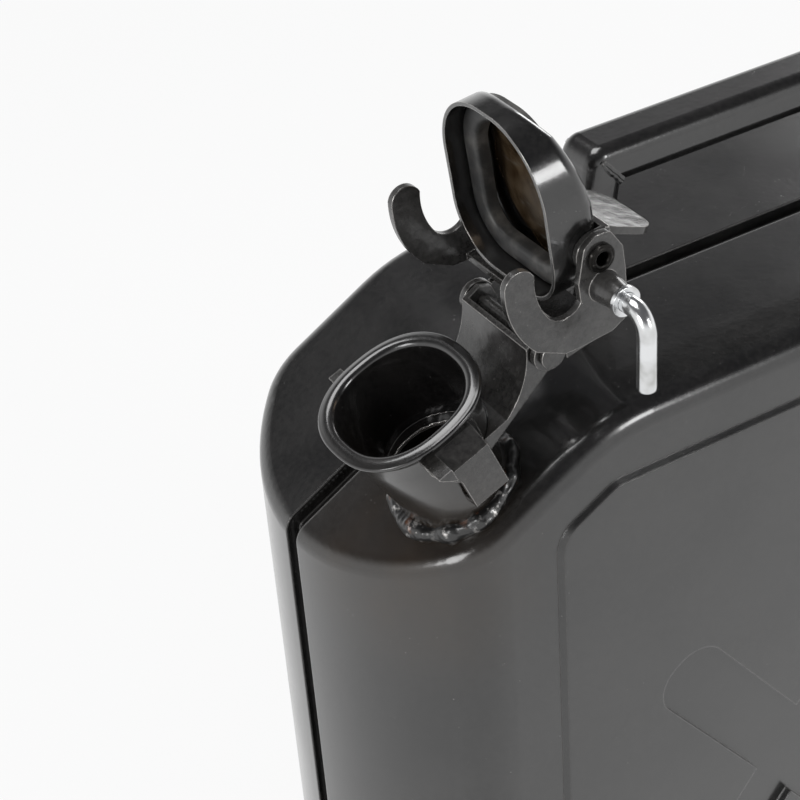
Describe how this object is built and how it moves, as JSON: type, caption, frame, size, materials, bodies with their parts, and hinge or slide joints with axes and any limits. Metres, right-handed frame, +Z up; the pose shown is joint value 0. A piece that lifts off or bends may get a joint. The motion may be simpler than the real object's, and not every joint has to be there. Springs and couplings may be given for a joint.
{
  "type": "metal jerrycan",
  "caption": "Pressed steel jerrycan with a leaning spout, a hinged lid held by a hooked cam lever, a locking pin and a box-tube carrying handle.",
  "frame": {"origin": "centre of the base, on the seam plane, at standing height", "axes": "+Z up, spout end at -X, the spout stands on the -Y half"},
  "size_m": [0.2799, 0.1517, 0.4154],
  "materials": {
    "black_paint": "semi-gloss black enamel on pressed steel, edges worn",
    "steel": "bare or dark plated steel",
    "zinc": "bright zinc plating",
    "rubber": "dark grey moulded rubber"
  },
  "bodies": {
    "can": {"body_left_half": "black_paint", "body_right_half": "black_paint", "seam_weld": "black_paint", "neck_tube": "black_paint", "neck_weld": "black_paint", "hinge_saddle": "black_paint", "hinge_pin": "black_paint", "catch_left": "black_paint", "catch_right": "black_paint", "handle_tube": "black_paint", "handle_weld_front": "black_paint", "handle_weld_rear": "black_paint"},
    "lid": {"lid_shell": "black_paint", "lid_gasket": "rubber", "lid_yoke": "black_paint", "pivot_rivet_left": "steel", "pivot_rivet_right": "steel"},
    "lever": {"cam_lever": "black_paint"},
    "pin_ring": {"pin_clip": "zinc"},
    "pin": {"locking_pin": "zinc"}
  },
  "joints": [
    {"name": "lid_hinge", "type": "hinge", "parent": "can", "child": "lid", "pos_m": [-0.07696, -0.034, 0.34344], "axis": [0, -1, 0], "range_deg": [0, 105.7]},
    {"name": "cam_hinge", "type": "hinge", "parent": "lid", "child": "lever", "pos_m": [-0.06694, -0.034, 0.37716], "axis": [0, 1, 0], "range_deg": [0, 36]},
    {"name": "pin_slide", "type": "slide", "parent": "lever", "child": "pin_ring", "axis": [0, -1, 0], "range_m": [0, 0.006]},
    {"name": "pin_swing", "type": "hinge", "parent": "pin_ring", "child": "pin", "pos_m": [-0.06579, -0.034, 0.36753], "axis": [0, 1, 0], "range_deg": [-75, 75]}
  ]
}
